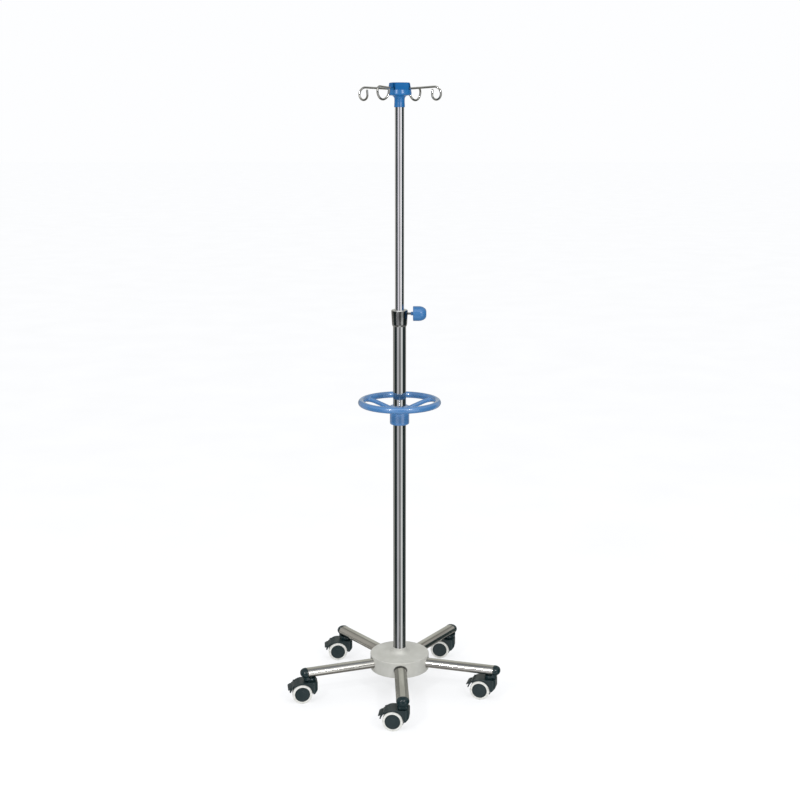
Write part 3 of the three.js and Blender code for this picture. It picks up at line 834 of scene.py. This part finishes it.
def disc_mesh():
    """A wheel disc: a shallow dish with a raised rim and a low hub boss on its outer face."""
    w = WHEEL
    edge = w["rim"] - GAP
    bore = AXLE["radius"] + GAP
    bore_end = AXLE["half_length"] + GAP
    face = w["outer"]
    profile = rounded(
        [
            (bore, w["inner"], 0.3),
            (edge, w["inner"], 0.5),
            (edge, face, 0.9),
            (edge - 1.8, face, 0.5),
            (edge - 2.4, face - 0.7, 0.4),
            (8.2, face - 0.3, 0.4),
            (7.8, face, 0.4),
            (5.6, face + 0.1, 1),
            (0, face + 0.1, 0),
        ],
        closed=False,
    )
    profile += [(0, bore_end), (bore, bore_end)]
    return lay(lathe(profile, segments=96))


def axle_mesh():
    radius, half = AXLE["radius"], AXLE["half_length"]
    profile = rounded(
        [(0, -half, 0), (radius, -half, 0.5), (radius, half, 0.5), (0, half, 0)], closed=False
    )
    return lay(lathe(profile, False, 32))


HOUSING_MESH = housing_mesh()
STEM_MESH = stem_mesh()
LEVER_MESH = lever_mesh()
TYRE_MESH = tyre_mesh()
DISC_MESH = disc_mesh()
AXLE_MESH = axle_mesh()
for number in LEGS:
    place = castor_place(number)
    body = f"castor_{number}"
    piece(f"castor_hood_{number}", HOUSING_MESH, place, BLACK, body, [f"castor_housing_{number}"])
    piece(f"castor_stem_{number}", STEM_MESH, place, HARDWARE, body)
    piece(f"castor_pin_{number}", AXLE_MESH, place, HARDWARE, body, [f"castor_axle_{number}"])
    lever = f"brake_lever_{number}"
    piece(f"brake_pedal_{number}", LEVER_MESH, place, BLACK, lever, [lever])
    for side, turn in (("a", 0), ("b", math.pi)):
        at = place @ Matrix.Rotation(turn, 4, "Z")
        wheel = f"{number}{side}"
        piece(f"tread_{wheel}", TYRE_MESH, at, TYRE, f"wheel_{wheel}", [f"tyre_{wheel}"])
        piece(f"disc_{wheel}", DISC_MESH, at, BLACK, f"wheel_{wheel}", [f"wheel_disc_{wheel}"])

# ---------- mast ----------


def tube_mesh(size):
    inside = size["radius"] - size["wall"]
    return turned(
        (inside, size["bottom"], 0.3),
        (size["radius"], size["bottom"], 0.5),
        (size["radius"], size["top"], 0.5),
        (inside, size["top"], 0.3),
        segments=128,
    )


def bush_mesh():
    b = BUSH
    seat = UPPER_TUBE["radius"] + GAP
    return turned(
        (b["bore"], b["bottom"], 0.4),
        (b["radius"], b["bottom"], 1),
        (b["radius"], b["top"], 1),
        (seat, b["top"], 0.3),
        (seat, b["shelf"], 0),
        (b["bore"], b["shelf"], 0.3),
    )


def collar_mesh():
    """The clamp collar: a slightly tapered sleeve with a bevelled rim, drilled for its screw."""
    c = COLLAR
    guide = UPPER_TUBE["radius"] + GAP
    socket = LOWER_TUBE["radius"] + GAP
    shelf = LOWER_TUBE["top"] + GAP
    sleeve = turned(
        (socket, c["bottom"], 0),
        (c["bottom_radius"] - 1.7, c["bottom"], 0.4),
        (c["bottom_radius"], c["bottom"] + 5, 3),
        (c["top_radius"], c["top"] - 2.8, 1.2),
        (c["top_radius"] - 1.2, c["top"], 0.9),
        (guide, c["top"], 0.8),
        (guide, shelf, 0),
        (socket, shelf, 0),
        segments=128,
    )
    hole = cylinder(SCREW["radius"] + GAP, 8, 40, 32)
    return boolean(sleeve, moved(hole, AT_CLAMP))


# A screw's own axis is +X, at the height of the clamp.
AT_CLAMP = Matrix.Translation((0, 0, SCREW["z"])) @ Matrix.Rotation(math.pi / 2, 4, "Y")


def screw_mesh():
    """The clamp screw with a real thread and a turned tip."""
    s = SCREW
    sides, per_turn = 24, 8
    count = int((s["end"] - s["start"]) / s["pitch"] * per_turn)
    vertices = [(0, 0, s["start"])] * sides
    for row in range(count + 1):
        height = s["start"] + (s["end"] - s["start"]) * row / count
        tip = min(1, (height - s["start"]) / 2)
        for side in range(sides):
            share = side / sides
            phase = (height / s["pitch"] - share) % 1
            radius = (s["radius"] - s["depth"] * abs(2 * phase - 1)) * (0.75 + 0.25 * tip)
            turn = math.tau * share
            vertices.append((radius * math.cos(turn), radius * math.sin(turn), height))
    vertices += [(0, 0, s["end"])] * sides
    return moved(mesh_from(vertices, grid_faces(count + 3, False, sides)), AT_CLAMP)


def knob_mesh():
    """The clamp knob: a short drum with a domed end on a slim neck."""
    k = KNOB
    bore = SCREW["radius"] + GAP
    steps = 16
    turns = [math.pi / 2 * i / steps for i in range(steps)]
    dome = [
        (k["radius"] * (0.3 + 0.7 * math.cos(t)), k["dome"] + (k["end"] - k["dome"]) * math.sin(t), 0)
        for t in turns
    ]
    profile = rounded(
        [
            (bore, k["neck_start"], 0.3),
            (k["neck_radius"], k["neck_start"], 0.5),
            (k["neck_radius"], k["start"], 0.8),
            (k["radius"], k["start"], 1.6),
            *dome,
            (k["radius"] * 0.3, k["end"], 0),
            (0, k["end"], 0),
        ],
        closed=False,
    )
    profile += [(0, SCREW["end"] + GAP), (bore, SCREW["end"] + GAP)]
    return moved(lathe(profile, segments=96), AT_CLAMP)


outer_tube = piece("mast_outer_tube", tube_mesh(LOWER_TUBE), AT_MAST, LOWER_STEEL, "base", ["lower_tube"])
outer_tube.visible_glossy = False
piece("mast_inner_tube", tube_mesh(UPPER_TUBE), AT_MAST, UPPER_STEEL, "mast", ["upper_tube"])
piece("mast_bush", bush_mesh(), AT_MAST, BUSH_WHITE, "slide_bush", ["slide_bush"])
piece("clamp_sleeve", collar_mesh(), AT_MAST, CHROME, "base", ["clamp_collar"])
piece("clamp_thread", screw_mesh(), AT_MAST, HARDWARE, "clamp_screw", ["clamp_screw"], 60)
piece("clamp_handle", knob_mesh(), AT_MAST, BLUE_KNOB, "clamp_knob", ["clamp_knob"])

# ---------- hand ring ----------


def spoke_line(steps=24):
    """The middle line of a spoke: out from the hub, rising to the ring in a shallow curve."""
    hub, reach = RING_HUB["radius"], RING["radius"] - RING_HUB["radius"]
    shares = [(-0.07, 1), (0.08, 0.8), (0.44, 0.45), (0.72, 0.2), (1, 0.1)]
    drop = 21
    points = [(hub + reach * out, 0, RING["z"] - drop * down) for out, down in shares]
    return smooth_line(points, steps // 4)


def ring_distance(points):
    """How far points are outside the blended ring, spokes and hub, all in millimetres."""
    x, y, z = points.T
    out = np.hypot(x, y)
    ring = np.hypot(out - RING["radius"], z - RING["z"]) - RING["tube"]
    edge = RING_HUB["edge"]
    half = (RING_HUB["top"] - RING_HUB["bottom"]) / 2
    middle = (RING_HUB["top"] + RING_HUB["bottom"]) / 2
    side = out - (RING_HUB["radius"] - edge)
    cap = np.abs(z - middle) - (half - edge)
    hub = np.hypot(np.maximum(side, 0), np.maximum(cap, 0)) + np.minimum(np.maximum(side, cap), 0) - edge
    parts = [ring, hub]
    line = np.array(spoke_line())
    for turn in SPOKE_TURNS:
        cos, sin = math.cos(turn), math.sin(turn)
        local = np.stack([x * cos + y * sin, y * cos - x * sin, z], 1)
        nearest = np.full(len(points), 1e9)
        for a, b in zip(line, line[1:]):
            share = np.clip((local - a) @ (b - a) / ((b - a) @ (b - a)), 0, 1)
            nearest = np.minimum(nearest, np.linalg.norm(local - a - share[:, None] * (b - a), axis=1))
        parts.append(nearest - SPOKE["radius"])
    softness = 1.6
    return -softness * np.log(sum(np.exp(-np.clip(part, -30, 60) / softness) for part in parts))


def settled(mesh, distance, rounds=5):
    """Moves the points of a mesh in millimetres onto the surface where a distance is zero."""
    points = np.empty(len(mesh.vertices) * 3)
    mesh.vertices.foreach_get("co", points)
    points = points.reshape(-1, 3) / MM
    step = 0.02
    for _ in range(rounds):
        here = distance(points)
        slope = np.stack([distance(points + step * axis) - here for axis in np.eye(3)], 1) / step
        size = np.maximum((slope**2).sum(1), 0.2)
        points = points - np.clip(here / size, -1, 1)[:, None] * slope
    mesh.vertices.foreach_set("co", (points * MM).ravel())
    return mesh


def ring_mesh():
    """The hand ring as one moulding: ring, three spokes and hub, with fillets where they meet."""
    tube = [(RING["radius"] + x, RING["z"] + z) for x, z in arc(RING["tube"], 0, 360, 16)[:-1]]
    bottom, top = RING_HUB["bottom"], RING_HUB["top"]
    parts = [lathe(tube), cylinder(RING_HUB["radius"], bottom, top)]
    spoke = wire(spoke_line(), SPOKE["radius"], 12)
    for turn in SPOKE_TURNS:
        parts.append(moved(spoke, Matrix.Rotation(turn, 4, "Z")))
    body = settled(moulded(parts, 1.25, 2), ring_distance)
    return boolean(body, cylinder(LOWER_TUBE["radius"] + GAP, bottom - 5, top + 5))


piece("hand_ring_moulding", ring_mesh(), AT_MAST, BLUE_RING_PAINTED_SHEEN, "base", ["hand_ring"])

# The grub screw that holds the ring's hub is at the back.
GRUB_SCREW = socket_screw(*SCREW_HEADS["grub"])
at_back = Matrix.Translation(Vector((0, RING_HUB["radius"] - GRUB["depth"], GRUB["z"])) * MM)
to_back = AT_MAST @ at_back @ Matrix.Rotation(-math.pi / 2, 4, "X")
piece("ring_grub_screw", GRUB_SCREW, to_back, HARDWARE, "base")

# ---------- head ----------


def head_mesh():
    """The head body: neck, fillet and round flange, bored for the upper tube."""
    h = HEAD
    bore = UPPER_TUBE["radius"] + GAP
    bore_top = UPPER_TUBE["top"] + GAP
    radius = h["flange_radius"]
    profile = rounded(
        [
            (bore, h["neck_bottom"], 0.3),
            (h["neck_radius"] + 0.6, h["neck_bottom"], 0.5),
            (h["neck_radius"], h["neck_bottom"] + 12, 8),
            (h["neck_radius"], h["underside"], 8.5),
            (radius, h["underside"], 4.2),
            (radius - FLANGE_DRAFT, HEAD_TOP["flange"], 0.3),
            (0, HEAD_TOP["flange"], 0),
        ],
        closed=False,
    )
    profile += [(0, bore_top), (bore, bore_top)]
    return lathe(profile, segments=128)


def rounded_square(half, corner, steps):
    """A square outline with round corners, with the same number of points whatever its size."""
    inset = half - corner
    outline = []
    for turn in (-45, 45, 135, 225):
        x, y = polar(inset * math.sqrt(2), turn)
        outline += [(x + dx, y + dy) for dx, dy in arc(corner, turn - 45, turn + 45, steps)]
    return outline


def cap_top_mesh():
    """The head's cap: a square block with soft corners, slotted at each corner for a hook."""
    bottom, top = HEAD_TOP["flange"] + 0.05, HEAD_TOP["cap"]
    half, corner = HEAD_TOP["half_width"], HEAD_TOP["corner"]
    edge = 2.4
    # How far the sides stand out at each height: they flare at the foot to meet the flange.
    flare = [(-0.6, 7.9), (0.1, 7.8), (0.9, 6.6), (2, 4.6), (3.8, 2.8), (6, 1.6), (9, 0.7)]
    levels = [(bottom + up, out) for up, out in flare]
    levels.append((top - edge, -0.1))
    for turn in np.linspace(0.3, math.pi / 2, 5):
        levels.append((top - edge + edge * math.sin(turn), -0.1 - edge * (1 - math.cos(turn))))
    limit = HEAD["flange_radius"] - FLANGE_DRAFT + 0.1
    vertices = []
    for z, grow in levels:
        for x, y in rounded_square(half + grow, corner + max(grow, 0) * 1.5, 12):
            inside = min(1, limit / math.hypot(x, y))
            vertices.append((x * inside, y * inside, z))
    faces = capped_faces(len(levels), len(vertices) // len(levels))
    turn = Matrix.Rotation(math.radians(FIRST_HOOK_DEG - 45), 4, "Z")
    cap = moved(mesh_from(vertices, faces), turn)

    def cut(start, height, half_width):
        """A cutter from this far out to beyond the cap, and from under it up to a height."""
        low, end = bottom - 5, 45
        return slab([(start, low), (end, low), (end, height), (start, height)], half_width, 0.1)

    reach = HOOK["wire"] + 0.35
    slot = cut(20.5, top + 5, 3.2)
    groove = cut(6, HOOK["exit_z"] + reach, reach)
    for number in HOOKS:
        at = hook_turn(number)
        cap = boolean(boolean(cap, moved(slot, at)), moved(groove, at))
    return moulded([cap], 0.42, 16)


def hook_mesh():
    """A pigtail hook: out and a little up, round a loop, and back beside itself."""
    h = HOOK
    bend = 32
    rise = (h["peak_z"] - h["exit_z"]) / (h["peak_x"] - bend)
    arm = [(x, 0, h["exit_z"] + rise * max(0, x - bend)) for x in (7, 22, 28, 36, 50, 64, 78)]
    steps = 14
    loop = []
    for i in range(steps + 1):
        share = i / steps
        turn = math.pi * (0.5 - 1.5 * share)
        loop.append(
            (
                h["peak_x"] + h["loop"] * math.cos(turn),
                h["shift"] * share**1.6,
                h["peak_z"] - h["loop"] + h["loop"] * math.sin(turn),
            )
        )
    tip = (h["peak_x"] - h["loop"], h["shift"] + 1, h["peak_z"] - h["loop"] / 2)
    return wire(smooth_line([*arm, *loop, tip], 6), h["wire"])


piece("head_socket", head_mesh(), AT_MAST, BLUE_HEAD_PAINTED_SHEEN, "mast", ["head_body"])
piece("head_cover", cap_top_mesh(), AT_MAST, BLUE_CAP, "mast", ["head_cap"])
HOOK_MESH = hook_mesh()
for number in HOOKS:
    place = AT_MAST @ hook_turn(number)
    piece(f"bag_hook_{number}", HOOK_MESH, place, WIRE_STEEL, "mast", [f"hook_{number}"])

# The cap screw sits in the middle of the cap, just below its top.
CAP_SCREW = socket_screw(*SCREW_HEADS["cap"])
at_top = Matrix.Translation((0, 0, (HEAD_TOP["cap"] - 1) * MM))
piece("cap_screw", CAP_SCREW, AT_MAST @ at_top, HARDWARE, "mast")

# ---------- studio ----------

CAMERA = {"back": 3.1729, "side": 0.0011, "height": 1.4433, "down_deg": 12.178, "lens": 59.19}


def add_camera():
    data = bpy.data.cameras.new("camera")
    data.lens = CAMERA["lens"]
    data.sensor_width = 36
    camera = bpy.data.objects.new("camera", data)
    camera.location = MAST + Vector((CAMERA["side"], -CAMERA["back"], CAMERA["height"]))
    camera.rotation_euler = (math.radians(90 - CAMERA["down_deg"]), 0, 0)
    SCENE.collection.objects.link(camera)
    SCENE.camera = camera


def glow(name, colour, strength):
    """A plain light-giving material for what stands round the stand."""
    material = bpy.data.materials.new(name)
    material.use_nodes = True
    tree = material.node_tree
    tree.nodes.remove(tree.nodes["Principled BSDF"])
    light = tree.nodes.new("ShaderNodeEmission")
    light.inputs["Color"].default_value = (*colour, 1)
    light.inputs["Strength"].default_value = strength
    tree.links.new(light.outputs[0], tree.nodes["Material Output"].inputs["Surface"])
    material.cycles.emission_sampling = "NONE"
    return material


def studio_panel(name, azimuth, elevation, colour, strength):
    """A piece of the studio's far wall that shows only in reflections. Azimuth 0 is behind the
    camera, and it grows to the right."""
    radius, steps = 30, 12
    vertices = []
    for row in range(steps + 1):
        up = math.radians(elevation[0] + (elevation[1] - elevation[0]) * row / steps)
        for column in range(steps + 1):
            turn = math.radians(azimuth[0] + (azimuth[1] - azimuth[0]) * column / steps)
            level = radius * math.cos(up)
            vertices.append((level * math.sin(turn), -level * math.cos(turn), radius * math.sin(up)))
    width = steps + 1
    faces = [
        (r * width + c, r * width + c + 1, (r + 1) * width + c + 1, (r + 1) * width + c)
        for r in range(steps)
        for c in range(steps)
    ]
    mesh = bpy.data.meshes.new(name)
    mesh.from_pydata(vertices, [], faces)
    mesh.materials.append(glow(name, colour, strength))
    panel = bpy.data.objects.new(name, mesh)
    panel.location = MAST + Vector((0, 0, 0.75))
    panel.visible_camera = False
    panel.visible_diffuse = False
    panel.visible_shadow = False
    panel.visible_transmission = False
    SCENE.collection.objects.link(panel)


WARM, COOL, PLAIN, OLIVE = (1.0, 0.97, 0.92), (0.97, 0.95, 1.0), (1.0, 1.0, 1.0), (0.99, 1.0, 0.93)
# Name, azimuth, elevation, colour, strength.
PANELS = [
    ("left_flag", (-100, -47), (-34, 10), (0.7, 1.0, 1.0), 0.045),
    ("left_softbox", (-47, -9), (-34, 14), COOL, 0.72),
    ("camera_gap", (-9, 22), (-34, 34), PLAIN, 0.23),
    ("right_softbox", (22, 56), (-34, 14), PLAIN, 1.0),
    ("left_strip", (-47, -9), (14, 34), PLAIN, 0.16),
    ("right_strip", (22, 56), (14, 34), PLAIN, 0.16),
    ("right_flag", (56, 123), (-34, 26), (0.7, 1.0, 1.0), 0.045),
    ("back_right", (123, 150), (-34, 50), WARM, 0.42),
    ("back_right_flank", (150, 166), (-34, 50), OLIVE, 0.27),
    ("back_middle", (166, 194), (-34, 50), OLIVE, 0.56),
    ("back_left_flank", (194, 210), (-34, 50), OLIVE, 0.27),
    ("back_left", (210, 260), (-34, 50), WARM, 0.42),
    ("left_wall", (-100, -47), (10, 50), PLAIN, 0.45),
    ("right_wall", (56, 123), (26, 50), PLAIN, 0.45),
    ("front_high", (-47, 56), (34, 74), PLAIN, 1.35),
    ("left_high", (-100, -47), (50, 74), PLAIN, 0.6),
    ("right_high", (56, 123), (50, 74), PLAIN, 0.6),
    ("back_high", (123, 260), (50, 74), PLAIN, 0.28),
    ("ceiling", (0, 360), (74, 90), PLAIN, 0.3),
    ("front_low", (-28, 28), (-62, -34), PLAIN, 0.6),
    ("side_low", (28, 332), (-62, -34), WARM, 0.2),
    ("floor_low", (0, 360), (-90, -62), WARM, 0.2),
]
WORLD_LIGHT = 1.0
LAMP = {"azimuth": 29, "elevation": 29, "distance": 2.6, "size": 0.24, "power": 15}


def add_lamp(name, side):
    """A round lamp in front of the stand, to one side and above it."""
    turn, up = math.radians(side * LAMP["azimuth"]), math.radians(LAMP["elevation"])
    level = LAMP["distance"] * math.cos(up)
    towards = Vector((level * math.sin(turn), -level * math.cos(turn), LAMP["distance"] * math.sin(up)))
    data = bpy.data.lights.new(name, "AREA")
    data.shape = "DISK"
    data.size = LAMP["size"]
    data.energy = LAMP["power"]
    lamp = bpy.data.objects.new(name, data)
    lamp.location = MAST + Vector((0, 0, 0.7)) + towards
    lamp.rotation_euler = towards.to_track_quat("Z", "Y").to_euler()
    lamp.visible_camera = False
    SCENE.collection.objects.link(lamp)


def add_floor():
    """A plain pale floor, which the metal doesn't mirror."""
    size = 40
    mesh = bpy.data.meshes.new("floor")
    corners = [(-size, -size, 0), (size, -size, 0), (size, size, 0), (-size, size, 0)]
    mesh.from_pydata(corners, [], [(0, 1, 2, 3)])
    # Most of the floor's light is its own, as on a lit table, so that shadows stay faint.
    f = Finish(
        "floor_paint",
        Roughness=0.9,
        Specular_IOR_Level=0.0,
        Emission_Color=(0.985, 0.99, 1.0, 1),
        Emission_Strength=0.68,
    )
    patches = f.noise(3)
    f.finish(f.ramp(patches, (0.3, 0.302, 0.305, 1), (0.32, 0.322, 0.325, 1)))
    mesh.materials.append(f.material)
    floor = bpy.data.objects.new("floor", mesh)
    floor.visible_glossy = False
    SCENE.collection.objects.link(floor)


def add_world():
    world = bpy.data.worlds.new("studio")
    SCENE.world = world
    world.use_nodes = True
    background = world.node_tree.nodes["Background"]
    background.inputs["Color"].default_value = (0.985, 0.99, 1.0, 1)
    background.inputs["Strength"].default_value = WORLD_LIGHT
    SCENE.view_settings.view_transform = "Standard"


add_camera()
add_world()
add_floor()
for row in PANELS:
    studio_panel(*row)
for name, side in (("left_lamp", -1), ("right_lamp", 1)):
    add_lamp(name, side)

import json
